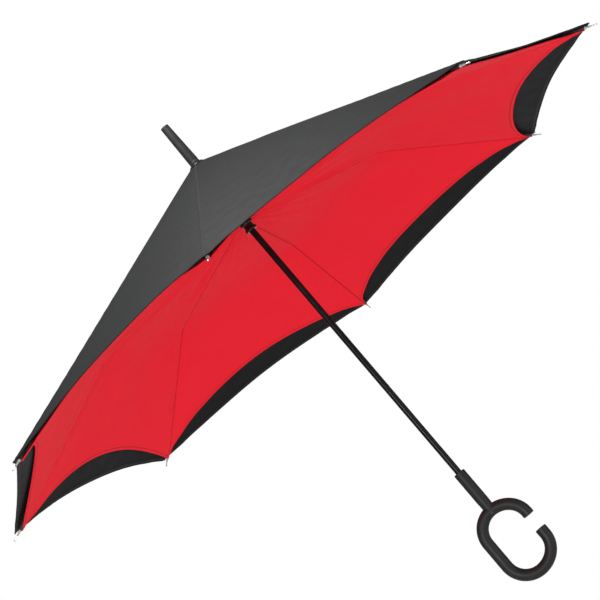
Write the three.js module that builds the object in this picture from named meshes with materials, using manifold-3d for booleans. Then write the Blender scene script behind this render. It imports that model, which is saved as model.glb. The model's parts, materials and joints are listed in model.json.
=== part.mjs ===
// Inverted stick umbrella, open: a steel shaft with a C-shaped handle, a fixed crown notch with eight
// struts, a sliding runner with eight ribs, and two canopies, one over and one under the ribs.
// Millimetres. +Z runs up the shaft to the ferrule. The origin is the middle of the handle's ring, on
// the shaft's axis, the ring lies in the XZ plane, and its gap faces +X.
import * as THREE from 'three';
import { mergeVertices } from 'three/addons/utils/BufferGeometryUtils.js';
import Module from 'manifold-3d';

const wasm = await Module();
wasm.setup();

// ---- driving dimensions ----
const RIM_Z = 455;              // height of the canopy's corners above the ring's middle
const CORNER_RADIUS = 525;      // outer canopy's corners from the axis
const CROWN_HEIGHT = 213.5;     // outer canopy's centre above its corners
const RIB_COUNT = 8;
const RIB_PHASE = -6.6;         // degrees from the handle's gap to the first rib
const CLEARANCE = 0.3;          // between pieces that touch or pass
const ROUND = 24;               // sides of the turned pieces that show

const SHAFT_RADIUS = 4.5;
const SHAFT_WALL = 0.6;
const SLIDE_CLEARANCE = 0.4;    // runner's bore over the shaft, on the radius

const GRIP_RADIUS = 8.25;       // section of the ring
const GRIP_HALF_WIDTH = 32;     // centreline of the ring's closed side from the axis
const GRIP_GAP_WIDTH = 34.7;    // centreline of the open side from the axis
const GRIP_STRAIGHT = 38;       // straight side between the two end arcs
const GRIP_GAP_TOP = 14.2;      // height of the upper arm's end
const GRIP_GAP_BOTTOM = -8.4;   // height of the lower arm's end
const SLEEVE_RADIUS = 8.3;
const SLEEVE_LENGTH = 66;       // from the ring's centreline up
const SHAFT_IN_HANDLE = 53;

const FERRULE_LENGTH = 68.4;
const FERRULE_BASE_RADIUS = 7.6;
const FERRULE_TIP_RADIUS = 6.1;
const SHAFT_IN_FERRULE = 42;    // length of shaft inside the ferrule
const WASHER_RADIUS = 12.3;
const WASHER_THICKNESS = 3.6;

const CANOPY_THICKNESS = 0.8;
const CANOPY_CLAMP_RADIUS = 14;     // flat middle of the outer canopy, held under the washer
const OUTER_SAG = 15;               // how far the outer hem curves in between two corners
const INNER_CORNER_SET_IN = 11;     // inner canopy's corners inside the outer one's
const INNER_SAG = 49;
const HEM_SHARE = 2.2;              // how quickly the sag fades towards the middle

const PASSING_GAP = 0.4;            // ribs and struts lie side by side, so that they pass
const RIB_PIVOT_RADIUS = 12;
const RIB_PIVOT_HEIGHT = 118;       // above the corners
const RIB_DEPTH = 4.9;              // rib's middle below the outer canopy
const RIB_BEND_LENGTH = 14;         // the rib turns down to its corner just beyond its channel
const CHANNEL_WIDTH = 4.6;
const CHANNEL_HEIGHT = 4.4;
const CHANNEL_WALL = 0.6;
const CHANNEL_PAST_JOINT = 11;
const ROD_RADIUS = 1.4;
const ROD_OVERLAP = 24;             // length of rod inside the channel
const JOINT_RADIUS = 246;           // strut's joint on the rib, from the axis
const CLAMP_LENGTH = 13;
const CLAMP_WALL = 0.8;
const TONGUE_WIDTH = 2.4;           // flat end of a rib in its slot
const TONGUE_HEIGHT = 3.6;
const TONGUE_IN_CHANNEL = 8;
const TIP_LENGTH = 26;              // plastic tip
const TIP_RADIUS = 2.7;
const TIP_SOCKET = 13;
const PIN_LENGTH = 8;               // pin beyond the plastic tip
const PIN_RADIUS = 0.9;
const PIN_BEYOND_CORNER = 7;        // pin's end beyond the outer canopy's corner

const STRUT_PIVOT_RADIUS = 10;
const STRUT_PIVOT_DEPTH = 10.5;     // below the outer canopy's centre
const STRUT_WIDTH = 2;
const STRUT_HEIGHT = 3.4;
const RIVET_RADIUS = 1.5;
const RIVET_HEAD = 0.8;
const WIRE_RADIUS = 0.6;            // tie wires in the notches
const WIRE_HOLE_RADIUS = 1.15;

const RUNNER_BELOW_PIVOT = 22.5;
const RUNNER_ABOVE_PIVOT = 6;
const RUNNER_RADIUS = 7;
const RUNNER_RIM_RADIUS = 9;
const RUNNER_FLANGE_RADIUS = 14.6;
const CROWN_BELOW_PIVOT = 14;
const CROWN_FLANGE_RADIUS = 12.8;
const NOTCH_BELOW = 3;              // notch flange below and above its wire
const NOTCH_ABOVE = 2.4;
const CAP_RADIUS = 9.6;
const CAP_HEIGHT = 8;
const CROSS_PIN_RADIUS = 1;
const STOP_ABOVE_RUNNER = 3;
const STOP_LENGTH = 13;

const CATCH_THICKNESS = 1.4;
const CATCH_HEIGHT = 9.5;
const CATCH_REACH = 2;              // how far the catch stands out of the shaft
const CATCH_BASE = 1.5;
const CATCH_BASE_WIDTH = 2.4;

// ---- materials ----
const look = (color, roughness, metalness) => new THREE.MeshStandardMaterial({ color, roughness, metalness });
const black_metal = look(0x0b0b0c, 0.25, 0.6);
const soft_black = look(0x2c2c2d, 0.6, 0);
const moulded_black = look(0x161617, 0.35, 0);
const steel = look(0x9a9b9d, 0.3, 1);
const glass_fibre = look(0x1a1a1b, 0.45, 0);
const clear_plastic = look(0xe8e8e4, 0.35, 0);
const outer_fabric = look(0x2b2b2c, 0.85, 0);
const inner_fabric = look(0xdb2f3e, 0.8, 0);

// ---- helpers ----
const umbrella = new THREE.Group();

function place(name, geometry, material, parent = umbrella) {
  const mesh = new THREE.Mesh(geometry, material);
  mesh.name = name;
  parent.add(mesh);
  return mesh;
}

function toSolid(geometry) {
  const bare = geometry.clone();
  for (const name of Object.keys(bare.attributes)) if (name !== 'position') bare.deleteAttribute(name);
  const merged = mergeVertices(bare, 1e-4);
  return new wasm.Manifold(new wasm.Mesh({
    numProp: 3,
    vertProperties: new Float32Array(merged.attributes.position.array),
    triVerts: new Uint32Array(merged.index.array),
  }));
}

function toGeometry(solid) {
  const mesh = solid.getMesh();
  const geometry = new THREE.BufferGeometry();
  geometry.setAttribute('position', new THREE.BufferAttribute(new Float32Array(mesh.vertProperties), 3));
  geometry.setIndex(new THREE.BufferAttribute(new Uint32Array(mesh.triVerts), 1));
  return geometry;
}

// a turned piece: outline points are [radius, height], and the axis is Z
function turned(outline, sides = ROUND) {
  const points = outline.map(([radius, height]) => new THREE.Vector2(radius, height));
  if (outline[0][0] > 0) points.push(points[0].clone());
  return new THREE.LatheGeometry(points, sides).rotateX(Math.PI / 2);
}

function cylinderAlong(axis, radius, length, sides = 16) {
  const geometry = new THREE.CylinderGeometry(radius, radius, length, sides);
  if (axis === 'x') geometry.rotateZ(Math.PI / 2);
  if (axis === 'z') geometry.rotateX(Math.PI / 2);
  return geometry;
}

function box(lowest, highest) {
  const size = highest.map((high, i) => high - lowest[i]);
  return new THREE.BoxGeometry(...size).translate(...lowest.map((low, i) => low + size[i] / 2));
}

const degrees = THREE.MathUtils.degToRad;
const ribTurns = Array.from({ length: RIB_COUNT }, (_, k) => degrees(RIB_PHASE + (k * 360) / RIB_COUNT));

// ---- shaft ----
const shaftTop = RIM_Z + CROWN_HEIGHT + CANOPY_THICKNESS / 2 + WASHER_THICKNESS + SHAFT_IN_FERRULE;
const boreRadius = SHAFT_RADIUS + CLEARANCE;
const ringTop = GRIP_STRAIGHT / 2 + GRIP_HALF_WIDTH;
const sleeveTop = ringTop + SLEEVE_LENGTH;
const shaftBottom = sleeveTop - SHAFT_IN_HANDLE;
const ribPivotZ = RIM_Z + RIB_PIVOT_HEIGHT;
const strutPivotZ = RIM_Z + CROWN_HEIGHT - STRUT_PIVOT_DEPTH;
const runnerBottom = ribPivotZ - RUNNER_BELOW_PIVOT;
const runnerTop = ribPivotZ + RUNNER_ABOVE_PIVOT;
const stopHeight = runnerTop + STOP_ABOVE_RUNNER + CROSS_PIN_RADIUS;
const crownBottom = strutPivotZ - CROWN_BELOW_PIVOT;
const crownPinHeight = (crownBottom + strutPivotZ - NOTCH_BELOW) / 2;
const catchTop = runnerBottom - CLEARANCE;
const catchBottom = catchTop - CATCH_HEIGHT;
// a rib and its strut stand to either side of their radial line
const clampSide = CHANNEL_WIDTH / 2 + CLEARANCE + CLAMP_WALL;
const strutSide = (clampSide + PASSING_GAP + STRUT_WIDTH / 2) / 2;
const ribSide = -strutSide;
const crossHole = cylinderAlong('x', CROSS_PIN_RADIUS + CLEARANCE, 4 * CAP_RADIUS, 12);
const shaftInside = SHAFT_RADIUS - SHAFT_WALL;

function makeShaft() {
  let tube = toSolid(turned([
    [shaftInside, shaftBottom], [SHAFT_RADIUS, shaftBottom], [SHAFT_RADIUS, shaftTop], [shaftInside, shaftTop],
  ], 24));
  for (const height of [stopHeight, crownPinHeight]) {
    tube = tube.subtract(toSolid(crossHole.clone().translate(0, 0, height)));
  }
  const half = CATCH_THICKNESS / 2 + CLEARANCE;
  tube = tube.subtract(toSolid(box(
    [-half, 0, catchBottom - CLEARANCE], [half, 2 * SHAFT_RADIUS, catchTop + CLEARANCE],
  )));
  place('shaft', toGeometry(tube), black_metal);
}

// ---- handle ----
// the ring's centreline, from the lower arm's end, round the bottom and the closed side, to the gap again
class GripCurve extends THREE.Curve {
  constructor() {
    super();
    const half = GRIP_STRAIGHT / 2;
    const wide = GRIP_GAP_WIDTH;
    const deep = GRIP_HALF_WIDTH;
    this.stretches = [
      { length: half + GRIP_GAP_BOTTOM, at: (t) => [wide, GRIP_GAP_BOTTOM - t * (half + GRIP_GAP_BOTTOM)] },
      { length: (deep * Math.PI) / 2, at: (t) => this.arc(wide, deep, -half, -degrees(90 * t)) },
      { length: (deep * Math.PI) / 2, at: (t) => this.arc(deep, deep, -half, -degrees(90 + 90 * t)) },
      { length: GRIP_STRAIGHT, at: (t) => [-deep, -half + t * GRIP_STRAIGHT] },
      { length: (deep * Math.PI) / 2, at: (t) => this.arc(deep, deep, half, degrees(180 - 90 * t)) },
      { length: (deep * Math.PI) / 2, at: (t) => this.arc(wide, deep, half, degrees(90 - 90 * t)) },
      { length: half - GRIP_GAP_TOP, at: (t) => [wide, half - t * (half - GRIP_GAP_TOP)] },
    ];
    this.total = this.stretches.reduce((sum, stretch) => sum + stretch.length, 0);
  }

  arc(acrossRadius, alongRadius, middle, angle) {
    return [acrossRadius * Math.cos(angle), middle + alongRadius * Math.sin(angle)];
  }

  getPoint(t) {
    let left = THREE.MathUtils.clamp(t, 0, 1) * this.total;
    const last = this.stretches[this.stretches.length - 1];
    for (const stretch of this.stretches) {
      if (left <= stretch.length || stretch === last) {
        const [x, z] = stretch.at(Math.min(left / stretch.length, 1));
        return new THREE.Vector3(x, 0, z);
      }
      left -= stretch.length;
    }
    return null;
  }
}

function makeHandle() {
  const section = new THREE.Shape().absarc(0, 0, GRIP_RADIUS, 0, 2 * Math.PI, false);
  const ring = toSolid(new THREE.ExtrudeGeometry(section, {
    extrudePath: new GripCurve(), steps: 44, curveSegments: 8, bevelEnabled: false,
  }));
  const sleeve = toSolid(turned([
    [0, ringTop - GRIP_RADIUS / 2], [SLEEVE_RADIUS, ringTop - GRIP_RADIUS / 2], [SLEEVE_RADIUS, sleeveTop - 1],
    [SLEEVE_RADIUS - 1, sleeveTop], [0, sleeveTop],
  ], 24));
  const bore = toSolid(turned([
    [0, shaftBottom - CLEARANCE], [boreRadius, shaftBottom - CLEARANCE],
    [boreRadius, sleeveTop + 1], [0, sleeveTop + 1],
  ], 24));
  place('handle', toGeometry(ring.add(sleeve).subtract(bore)), soft_black);
}

// ---- top fittings ----
const washerBottom = RIM_Z + CROWN_HEIGHT + CANOPY_THICKNESS / 2 + CLEARANCE;
const washerTop = washerBottom + WASHER_THICKNESS;

function makeTopFittings() {
  place('canopy_washer', turned([
    [boreRadius, washerBottom], [WASHER_RADIUS, washerBottom], [WASHER_RADIUS, washerTop - 0.8],
    [WASHER_RADIUS - 0.8, washerTop], [boreRadius, washerTop],
  ]), moulded_black);
  const base = washerTop + CLEARANCE;
  const end = base + FERRULE_LENGTH;
  const round = 1.5;
  place('ferrule', turned([
    [0, shaftTop + CLEARANCE], [boreRadius, shaftTop + CLEARANCE], [boreRadius, base],
    [FERRULE_BASE_RADIUS, base], [FERRULE_TIP_RADIUS, end - round], [FERRULE_TIP_RADIUS - 0.5, end - 0.5],
    [FERRULE_TIP_RADIUS - round, end], [0, end],
  ]), soft_black);
}

// ---- notches: slotted flanges whose tie wire carries the ribs or the struts ----
// flange outline with a groove for the wire, to be joined into a turned outline, from the inside out
function notchRim(pivotHeight, wireCircle, flangeRadius) {
  const groove = WIRE_RADIUS + CLEARANCE;
  return {
    bottom: pivotHeight - NOTCH_BELOW,
    top: pivotHeight + NOTCH_ABOVE,
    outline: [
      [flangeRadius, pivotHeight - NOTCH_BELOW], [flangeRadius, pivotHeight + NOTCH_ABOVE],
      [wireCircle + groove, pivotHeight + NOTCH_ABOVE], [wireCircle + groove, pivotHeight - groove],
      [wireCircle - groove, pivotHeight - groove], [wireCircle - groove, pivotHeight + NOTCH_ABOVE],
    ],
  };
}

function cutSlots(solid, side, width, innerRadius, outerRadius, bottom, top) {
  const half = width / 2 + CLEARANCE;
  let cut = solid;
  for (const turn of ribTurns) {
    const slot = box([innerRadius, side - half, bottom - 1], [outerRadius + 2, side + half, top + 1]);
    cut = cut.subtract(toSolid(slot.rotateZ(turn)));
  }
  return cut;
}

// a tie wire runs in a circle through holes that lie a little to one side of the radial line
const wireCircleOf = (pivotRadius, side) => Math.hypot(pivotRadius, side);

function makeWire(name, circle, height) {
  place(name, new THREE.TorusGeometry(circle, WIRE_RADIUS, 5, 32).translate(0, 0, height), steel);
}

function makeCrown() {
  const circle = wireCircleOf(STRUT_PIVOT_RADIUS, strutSide);
  const rim = notchRim(strutPivotZ, circle, CROWN_FLANGE_RADIUS);
  const top = RIM_Z + CROWN_HEIGHT - CANOPY_THICKNESS / 2 - CLEARANCE;
  const neck = STRUT_PIVOT_RADIUS - STRUT_HEIGHT / 2 - 2 * CLEARANCE;
  let crown = toSolid(turned([
    [boreRadius, crownBottom], [neck, crownBottom], [neck, rim.bottom], ...rim.outline,
    [neck, rim.top], [neck, top], [boreRadius, top],
  ]));
  crown = cutSlots(crown, strutSide, STRUT_WIDTH, neck, CROWN_FLANGE_RADIUS, rim.bottom, rim.top);
  crown = crown.subtract(toSolid(crossHole.clone().translate(0, 0, crownPinHeight)));
  place('crown_notch', toGeometry(crown), moulded_black);
  makeWire('crown_wire', circle, strutPivotZ);
  place('crown_pin', cylinderAlong('x', CROSS_PIN_RADIUS, 2 * neck, 12).translate(0, 0, crownPinHeight), steel);
}

const innerClampHeight = ribPivotZ - NOTCH_BELOW - CLEARANCE - CANOPY_THICKNESS / 2;

function makeRunner() {
  const inside = SHAFT_RADIUS + SLIDE_CLEARANCE;
  const circle = wireCircleOf(RIB_PIVOT_RADIUS, ribSide);
  const rim = notchRim(ribPivotZ, circle, RUNNER_FLANGE_RADIUS);
  const edge = 0.8;
  const rimHeight = 5;
  let runner = toSolid(turned([
    [inside, runnerBottom], [RUNNER_RIM_RADIUS - edge, runnerBottom], [RUNNER_RIM_RADIUS, runnerBottom + edge],
    [RUNNER_RIM_RADIUS, runnerBottom + rimHeight - edge], [RUNNER_RIM_RADIUS - edge, runnerBottom + rimHeight],
    [RUNNER_RADIUS, runnerBottom + rimHeight + edge], [RUNNER_RADIUS, rim.bottom], ...rim.outline,
    [RUNNER_RADIUS, rim.top], [RUNNER_RADIUS, runnerTop], [inside, runnerTop],
  ]));
  const slotInside = RIB_PIVOT_RADIUS - TONGUE_HEIGHT / 2 - 2 * CLEARANCE;
  runner = cutSlots(runner, ribSide, TONGUE_WIDTH, slotInside, RUNNER_FLANGE_RADIUS, rim.bottom, rim.top);
  place('runner', toGeometry(runner), moulded_black);
  makeWire('runner_wire', circle, ribPivotZ);

  const capTop = innerClampHeight - CANOPY_THICKNESS / 2 - CLEARANCE;
  const capInside = RUNNER_RADIUS + CLEARANCE;
  place('runner_cap', turned([
    [capInside, capTop - CAP_HEIGHT], [CAP_RADIUS - 1.4, capTop - CAP_HEIGHT], [CAP_RADIUS, capTop - CAP_HEIGHT + 1.6],
    [CAP_RADIUS, capTop - 1], [CAP_RADIUS - 0.8, capTop], [capInside, capTop],
  ]), moulded_black);
  place('stop_pin', cylinderAlong('x', CROSS_PIN_RADIUS, STOP_LENGTH, 12).translate(0, 0, stopHeight), steel);
}

// a sprung wedge that stands out of the shaft under the runner and holds the umbrella open
function makeCatch() {
  const outline = new THREE.Shape([
    new THREE.Vector2(shaftInside - CLEARANCE, catchTop), new THREE.Vector2(SHAFT_RADIUS + CATCH_REACH, catchTop),
    new THREE.Vector2(SHAFT_RADIUS + CATCH_REACH, catchTop - 2),
    new THREE.Vector2(shaftInside - CLEARANCE, catchBottom),
  ]);
  const blade = new THREE.ExtrudeGeometry(outline, { depth: CATCH_THICKNESS, bevelEnabled: false });
  // the outline's (across, up) becomes (Y, Z), and its depth becomes X
  blade.applyMatrix4(new THREE.Matrix4().makeBasis(
    new THREE.Vector3(0, 1, 0), new THREE.Vector3(0, 0, 1), new THREE.Vector3(1, 0, 0),
  )).translate(-CATCH_THICKNESS / 2, 0, 0);
  const outside = shaftInside - 2 * CLEARANCE;
  const base = box(
    [-CATCH_BASE_WIDTH / 2, outside - CATCH_BASE, catchBottom - 3], [CATCH_BASE_WIDTH / 2, outside, catchTop + 3],
  );
  const joined = toSolid(blade).add(toSolid(box(
    [-CATCH_THICKNESS / 2, outside - 0.5, catchBottom + 1], [CATCH_THICKNESS / 2, shaftInside - 0.2, catchTop],
  ))).add(toSolid(base));
  place('top_catch', toGeometry(joined), steel);
}

// ---- ribs and struts, each built along its own X from its pivot ----
const outerSlope = CROWN_HEIGHT / (CORNER_RADIUS - CANOPY_CLAMP_RADIUS);
const ridgeHeight = (radius) => CROWN_HEIGHT - outerSlope * (radius - CANOPY_CLAMP_RADIUS);
const outerRibAngle = Math.atan(outerSlope);
const bendRadius = JOINT_RADIUS + CHANNEL_PAST_JOINT + RIB_BEND_LENGTH + 1;
const bendHeight = ridgeHeight(bendRadius) - RIB_DEPTH;
const innerRibAngle = Math.atan2(RIB_PIVOT_HEIGHT - bendHeight, bendRadius - RIB_PIVOT_RADIUS);
const jointAlongRib = (JOINT_RADIUS - RIB_PIVOT_RADIUS) / Math.cos(innerRibAngle);
const bendAlongRib = (bendRadius - RIB_PIVOT_RADIUS) / Math.cos(innerRibAngle);
const bendAngle = outerRibAngle - innerRibAngle;
const jointHeight = RIB_PIVOT_HEIGHT - (JOINT_RADIUS - RIB_PIVOT_RADIUS) * Math.tan(innerRibAngle);
const channelEnd = jointAlongRib + CHANNEL_PAST_JOINT;

// a flat bar along X, rounded at its pivot, where a wire passes through it
function barGeometry(length, width, height) {
  const bar = toSolid(box([0, -width / 2, -height / 2], [length, width / 2, height / 2]));
  const end = toSolid(cylinderAlong('y', height / 2, width, 12));
  const hole = toSolid(cylinderAlong('y', WIRE_HOLE_RADIUS, 3 * width, 12));
  return bar.add(end).subtract(hole);
}

function channelGeometry() {
  const half = CHANNEL_WIDTH / 2;
  const tall = CHANNEL_HEIGHT / 2;
  const inner = half - CHANNEL_WALL;
  const roof = tall - CHANNEL_WALL;
  // the section's X is the rib's side, its Y is up, and it is open below
  const section = new THREE.Shape([
    [-half, -tall], [-inner, -tall], [-inner, roof], [inner, roof], [inner, -tall], [half, -tall],
    [half, tall], [-half, tall],
  ].map(([x, y]) => new THREE.Vector2(x, y)));
  // the channel starts where its end clears the flange's lower edge at every angle
  const start = Math.hypot(RUNNER_FLANGE_RADIUS - RIB_PIVOT_RADIUS, NOTCH_BELOW) + CLEARANCE;
  const channel = new THREE.ExtrudeGeometry(section, { depth: channelEnd - start, bevelEnabled: false });
  channel.applyMatrix4(new THREE.Matrix4().makeBasis(
    new THREE.Vector3(0, 1, 0), new THREE.Vector3(0, 0, 1), new THREE.Vector3(1, 0, 0),
  )).translate(start, 0, 0);
  return toGeometry(toSolid(channel).add(barGeometry(start + TONGUE_IN_CHANNEL, TONGUE_WIDTH, TONGUE_HEIGHT)));
}

// point and direction on the rib's middle line, beyond the bend, in the rib's own X and Z
const tipDirection = new THREE.Vector3(Math.cos(bendAngle), 0, -Math.sin(bendAngle));
const bendPoint = new THREE.Vector3(bendAlongRib, 0, 0);
const pastBend = (length) => bendPoint.clone().addScaledVector(tipDirection, length);
const bendToRadius = (radius) => (radius - bendRadius) / Math.cos(outerRibAngle);
const tipEnd = bendToRadius(CORNER_RADIUS + PIN_BEYOND_CORNER);
const tipStart = tipEnd - PIN_LENGTH - TIP_LENGTH;

// a path that a section follows from point to point, however far apart the points are
class PointPath extends THREE.Curve {
  constructor(points) {
    super();
    this.points = points;
  }

  getPoint(t) {
    const last = this.points.length - 2;
    const spot = t * (last + 1);
    const i = Math.min(Math.floor(spot + 1e-9), last);
    return this.points[i].clone().lerp(this.points[i + 1], spot - i);
  }

  getPointAt(u) {
    return this.getPoint(u);
  }

  getTangentAt(u) {
    const last = this.points.length - 1;
    const i = Math.round(u * last);
    const before = this.points[i].clone().sub(this.points[Math.max(i - 1, 0)]).normalize();
    const after = this.points[Math.min(i + 1, last)].clone().sub(this.points[i]).normalize();
    return before.add(after).normalize();
  }
}

function rodGeometry() {
  const bend = new THREE.QuadraticBezierCurve3(
    new THREE.Vector3(bendAlongRib - RIB_BEND_LENGTH, 0, 0), bendPoint, pastBend(RIB_BEND_LENGTH),
  );
  const path = new PointPath([
    new THREE.Vector3(channelEnd - ROD_OVERLAP, 0, 0), ...bend.getPoints(6),
    pastBend(tipStart + TIP_SOCKET - CLEARANCE),
  ]);
  const section = new THREE.Shape().absarc(0, 0, ROD_RADIUS, 0, 2 * Math.PI, false);
  return new THREE.ExtrudeGeometry(section, {
    extrudePath: path, steps: path.points.length - 1, curveSegments: 4, bevelEnabled: false,
  });
}

function clampGeometry() {
  const gap = CLEARANCE;
  const across = CHANNEL_WIDTH / 2 + gap;
  const up = CHANNEL_HEIGHT / 2 + gap;
  const near = jointAlongRib - CLAMP_LENGTH / 2;
  const far = jointAlongRib + CLAMP_LENGTH / 2;
  const outside = box([near, -across - CLAMP_WALL, -up - CLAMP_WALL / 2], [far, across + CLAMP_WALL, up + CLAMP_WALL]);
  const inside = box([near - 1, -across, -up], [far + 1, across, up]);
  return toGeometry(toSolid(outside).subtract(toSolid(inside)));
}

function tipGeometry() {
  const socket = ROD_RADIUS + CLEARANCE;
  const knob = 1.5;
  const tip = turned([
    [0, TIP_SOCKET], [socket, TIP_SOCKET], [socket, 0], [TIP_RADIUS, 0], [TIP_RADIUS, TIP_LENGTH * 0.55],
    [TIP_RADIUS * 0.6, TIP_LENGTH], [PIN_RADIUS, TIP_LENGTH], [PIN_RADIUS, TIP_LENGTH + PIN_LENGTH - 2 * knob],
    [knob, TIP_LENGTH + PIN_LENGTH - 1.4 * knob], [knob, TIP_LENGTH + PIN_LENGTH - 0.6 * knob],
    [PIN_RADIUS, TIP_LENGTH + PIN_LENGTH], [0, TIP_LENGTH + PIN_LENGTH],
  ], 8);
  // turned about Z, then laid along the rib beyond its bend
  const start = pastBend(tipStart);
  return tip.rotateY(Math.PI / 2 + bendAngle).translate(start.x, start.y, start.z);
}

const strutAcross = JOINT_RADIUS - STRUT_PIVOT_RADIUS;
const strutDrop = strutPivotZ - RIM_Z - jointHeight;
const strutLength = Math.hypot(strutAcross, strutDrop);
const strutAngle = Math.atan2(strutDrop, strutAcross);

function strutGeometry() {
  // the rivet stops short of the clamp's side: this is the pivot that is left open
  const inner = ribSide + clampSide + CLEARANCE - strutSide;
  const outer = STRUT_WIDTH / 2 + RIVET_HEAD;
  const rivet = cylinderAlong('y', RIVET_RADIUS, outer - inner, 12).translate(strutLength, (outer + inner) / 2, 0);
  return toGeometry(barGeometry(strutLength + STRUT_HEIGHT / 2, STRUT_WIDTH, STRUT_HEIGHT).add(toSolid(rivet)));
}

function armFrame(turn, side, radius, height, angle) {
  const plane = new THREE.Group();
  plane.rotation.z = turn;
  const arm = new THREE.Group();
  arm.position.set(radius, side, height);
  arm.rotation.y = angle;
  plane.add(arm);
  umbrella.add(plane);
  return arm;
}

function makeArms() {
  const channel = channelGeometry();
  const rod = rodGeometry();
  const clamp = clampGeometry();
  const tip = tipGeometry();
  const strut = strutGeometry();
  ribTurns.forEach((turn, k) => {
    const number = k + 1;
    const rib = armFrame(turn, ribSide, RIB_PIVOT_RADIUS, ribPivotZ, innerRibAngle);
    place(`rib_channel_${number}`, channel, black_metal, rib);
    place(`rib_rod_${number}`, rod, glass_fibre, rib);
    place(`rib_clamp_${number}`, clamp, moulded_black, rib);
    place(`rib_tip_${number}`, tip, clear_plastic, rib);
    const arm = armFrame(turn, strutSide, STRUT_PIVOT_RADIUS, strutPivotZ, strutAngle);
    place(`strut_${number}`, strut, black_metal, arm);
  });
}

// ---- canopies: closed thin shells of eight panels, stretched between straight ridges ----
// ridge is a list of [radius, height] from the middle to a corner
function canopyGeometry(ridge, phase, sag, across) {
  const last = ridge.length - 1;
  const circleUntil = 3 * CANOPY_CLAMP_RADIUS;
  const rings = ridge.map(([radius, height], i) => {
    const ring = [];
    // near the middle the cloth is round, and further out each panel is flat from ridge to ridge
    const flatness = THREE.MathUtils.smoothstep(radius, CANOPY_CLAMP_RADIUS, circleUntil);
    const before = ridge[Math.max(i - 1, 0)];
    const after = ridge[Math.min(i + 1, last)];
    const rise = i === 0 ? 0 : (before[1] - after[1]) / (after[0] - before[0]);
    const pull = sag * (radius / ridge[last][0]) ** HEM_SHARE;
    for (let k = 0; k < RIB_COUNT; k++) {
      const turn = phase + degrees((k * 360) / RIB_COUNT);
      const wedge = degrees(360 / RIB_COUNT);
      for (let j = 0; j < across; j++) {
        const share = j / across;
        const chord = new THREE.Vector2(1, 0).lerp(new THREE.Vector2(Math.cos(wedge), Math.sin(wedge)), share);
        const arc = new THREE.Vector2(Math.cos(share * wedge), Math.sin(share * wedge));
        const spot = arc.lerp(chord, flatness).multiplyScalar(radius);
        const inward = pull * 4 * share * (1 - share);
        spot.addScaledVector(new THREE.Vector2(Math.cos(wedge / 2), Math.sin(wedge / 2)), -inward);
        spot.rotateAround(new THREE.Vector2(), turn);
        ring.push([spot.x, spot.y, RIM_Z + height + inward * rise]);
      }
    }
    return ring;
  });
  const count = RIB_COUNT * across;
  const positions = [];
  for (const offset of [CANOPY_THICKNESS / 2, -CANOPY_THICKNESS / 2]) {
    for (const ring of rings) for (const [x, y, z] of ring) positions.push(x, y, z + offset);
  }
  const bottom = rings.length * count;
  const index = [];
  const quad = (a, b, c, d) => index.push(a, b, c, a, c, d);
  for (let j = 0; j < count; j++) {
    const next = (j + 1) % count;
    for (let i = 0; i < last; i++) {
      quad(i * count + j, (i + 1) * count + j, (i + 1) * count + next, i * count + next);
      quad(bottom + i * count + j, bottom + i * count + next, bottom + (i + 1) * count + next,
        bottom + (i + 1) * count + j);
    }
    quad(j, next, bottom + next, bottom + j);
    const rim = last * count;
    quad(rim + j, bottom + rim + j, bottom + rim + next, rim + next);
  }
  const geometry = new THREE.BufferGeometry();
  geometry.setAttribute('position', new THREE.Float32BufferAttribute(positions, 3));
  geometry.setIndex(index);
  return geometry;
}

const alongRidge = (from, to, steps) => Array.from({ length: steps }, (_, i) => {
  const share = (i + 1) / steps;
  return [from[0] + (to[0] - from[0]) * share, from[1] + (to[1] - from[1]) * share];
});

function makeCanopies() {
  const cornerPhase = degrees(RIB_PHASE) + Math.asin(ribSide / CORNER_RADIUS);
  const middle = [boreRadius + CLEARANCE, CROWN_HEIGHT];
  const outerRidge = [
    middle, [CANOPY_CLAMP_RADIUS, CROWN_HEIGHT],
    ...alongRidge([CANOPY_CLAMP_RADIUS, CROWN_HEIGHT], [CORNER_RADIUS, 0], 8),
  ];
  place('outer_canopy', canopyGeometry(outerRidge, cornerPhase, OUTER_SAG, 6), outer_fabric);

  // the inner canopy lies under the clamps as far as the bend, and under the rods beyond it
  const underClamp = CHANNEL_HEIGHT / 2 + CLAMP_WALL + 2 * CLEARANCE + CANOPY_THICKNESS / 2;
  const clampHeight = innerClampHeight - RIM_Z;
  const atBend = [bendRadius, bendHeight - underClamp];
  const cornerRadius = CORNER_RADIUS - INNER_CORNER_SET_IN;
  const innerCorner = [cornerRadius, ridgeHeight(cornerRadius) - RIB_DEPTH - TIP_RADIUS - CANOPY_THICKNESS];
  const innerMiddle = [RUNNER_RADIUS + CLEARANCE, clampHeight];
  const clampEdge = [CAP_RADIUS, clampHeight];
  const underFlange = [RUNNER_FLANGE_RADIUS + 2, clampHeight - 1];
  const innerRidge = [
    innerMiddle, clampEdge, underFlange,
    ...alongRidge(underFlange, atBend, 4), ...alongRidge(atBend, innerCorner, 5),
  ];
  place('inner_canopy', canopyGeometry(innerRidge, cornerPhase, INNER_SAG, 6), inner_fabric);
}

makeShaft();
makeHandle();
makeTopFittings();
makeCrown();
makeRunner();
makeCatch();
makeArms();
makeCanopies();

export default umbrella;
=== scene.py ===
"""An open inverted stick umbrella: black outer canopy, red inner canopy, C-shaped handle."""
import json
import math

import bpy
import bmesh
import numpy as np
from mathutils import Matrix, Vector

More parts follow.
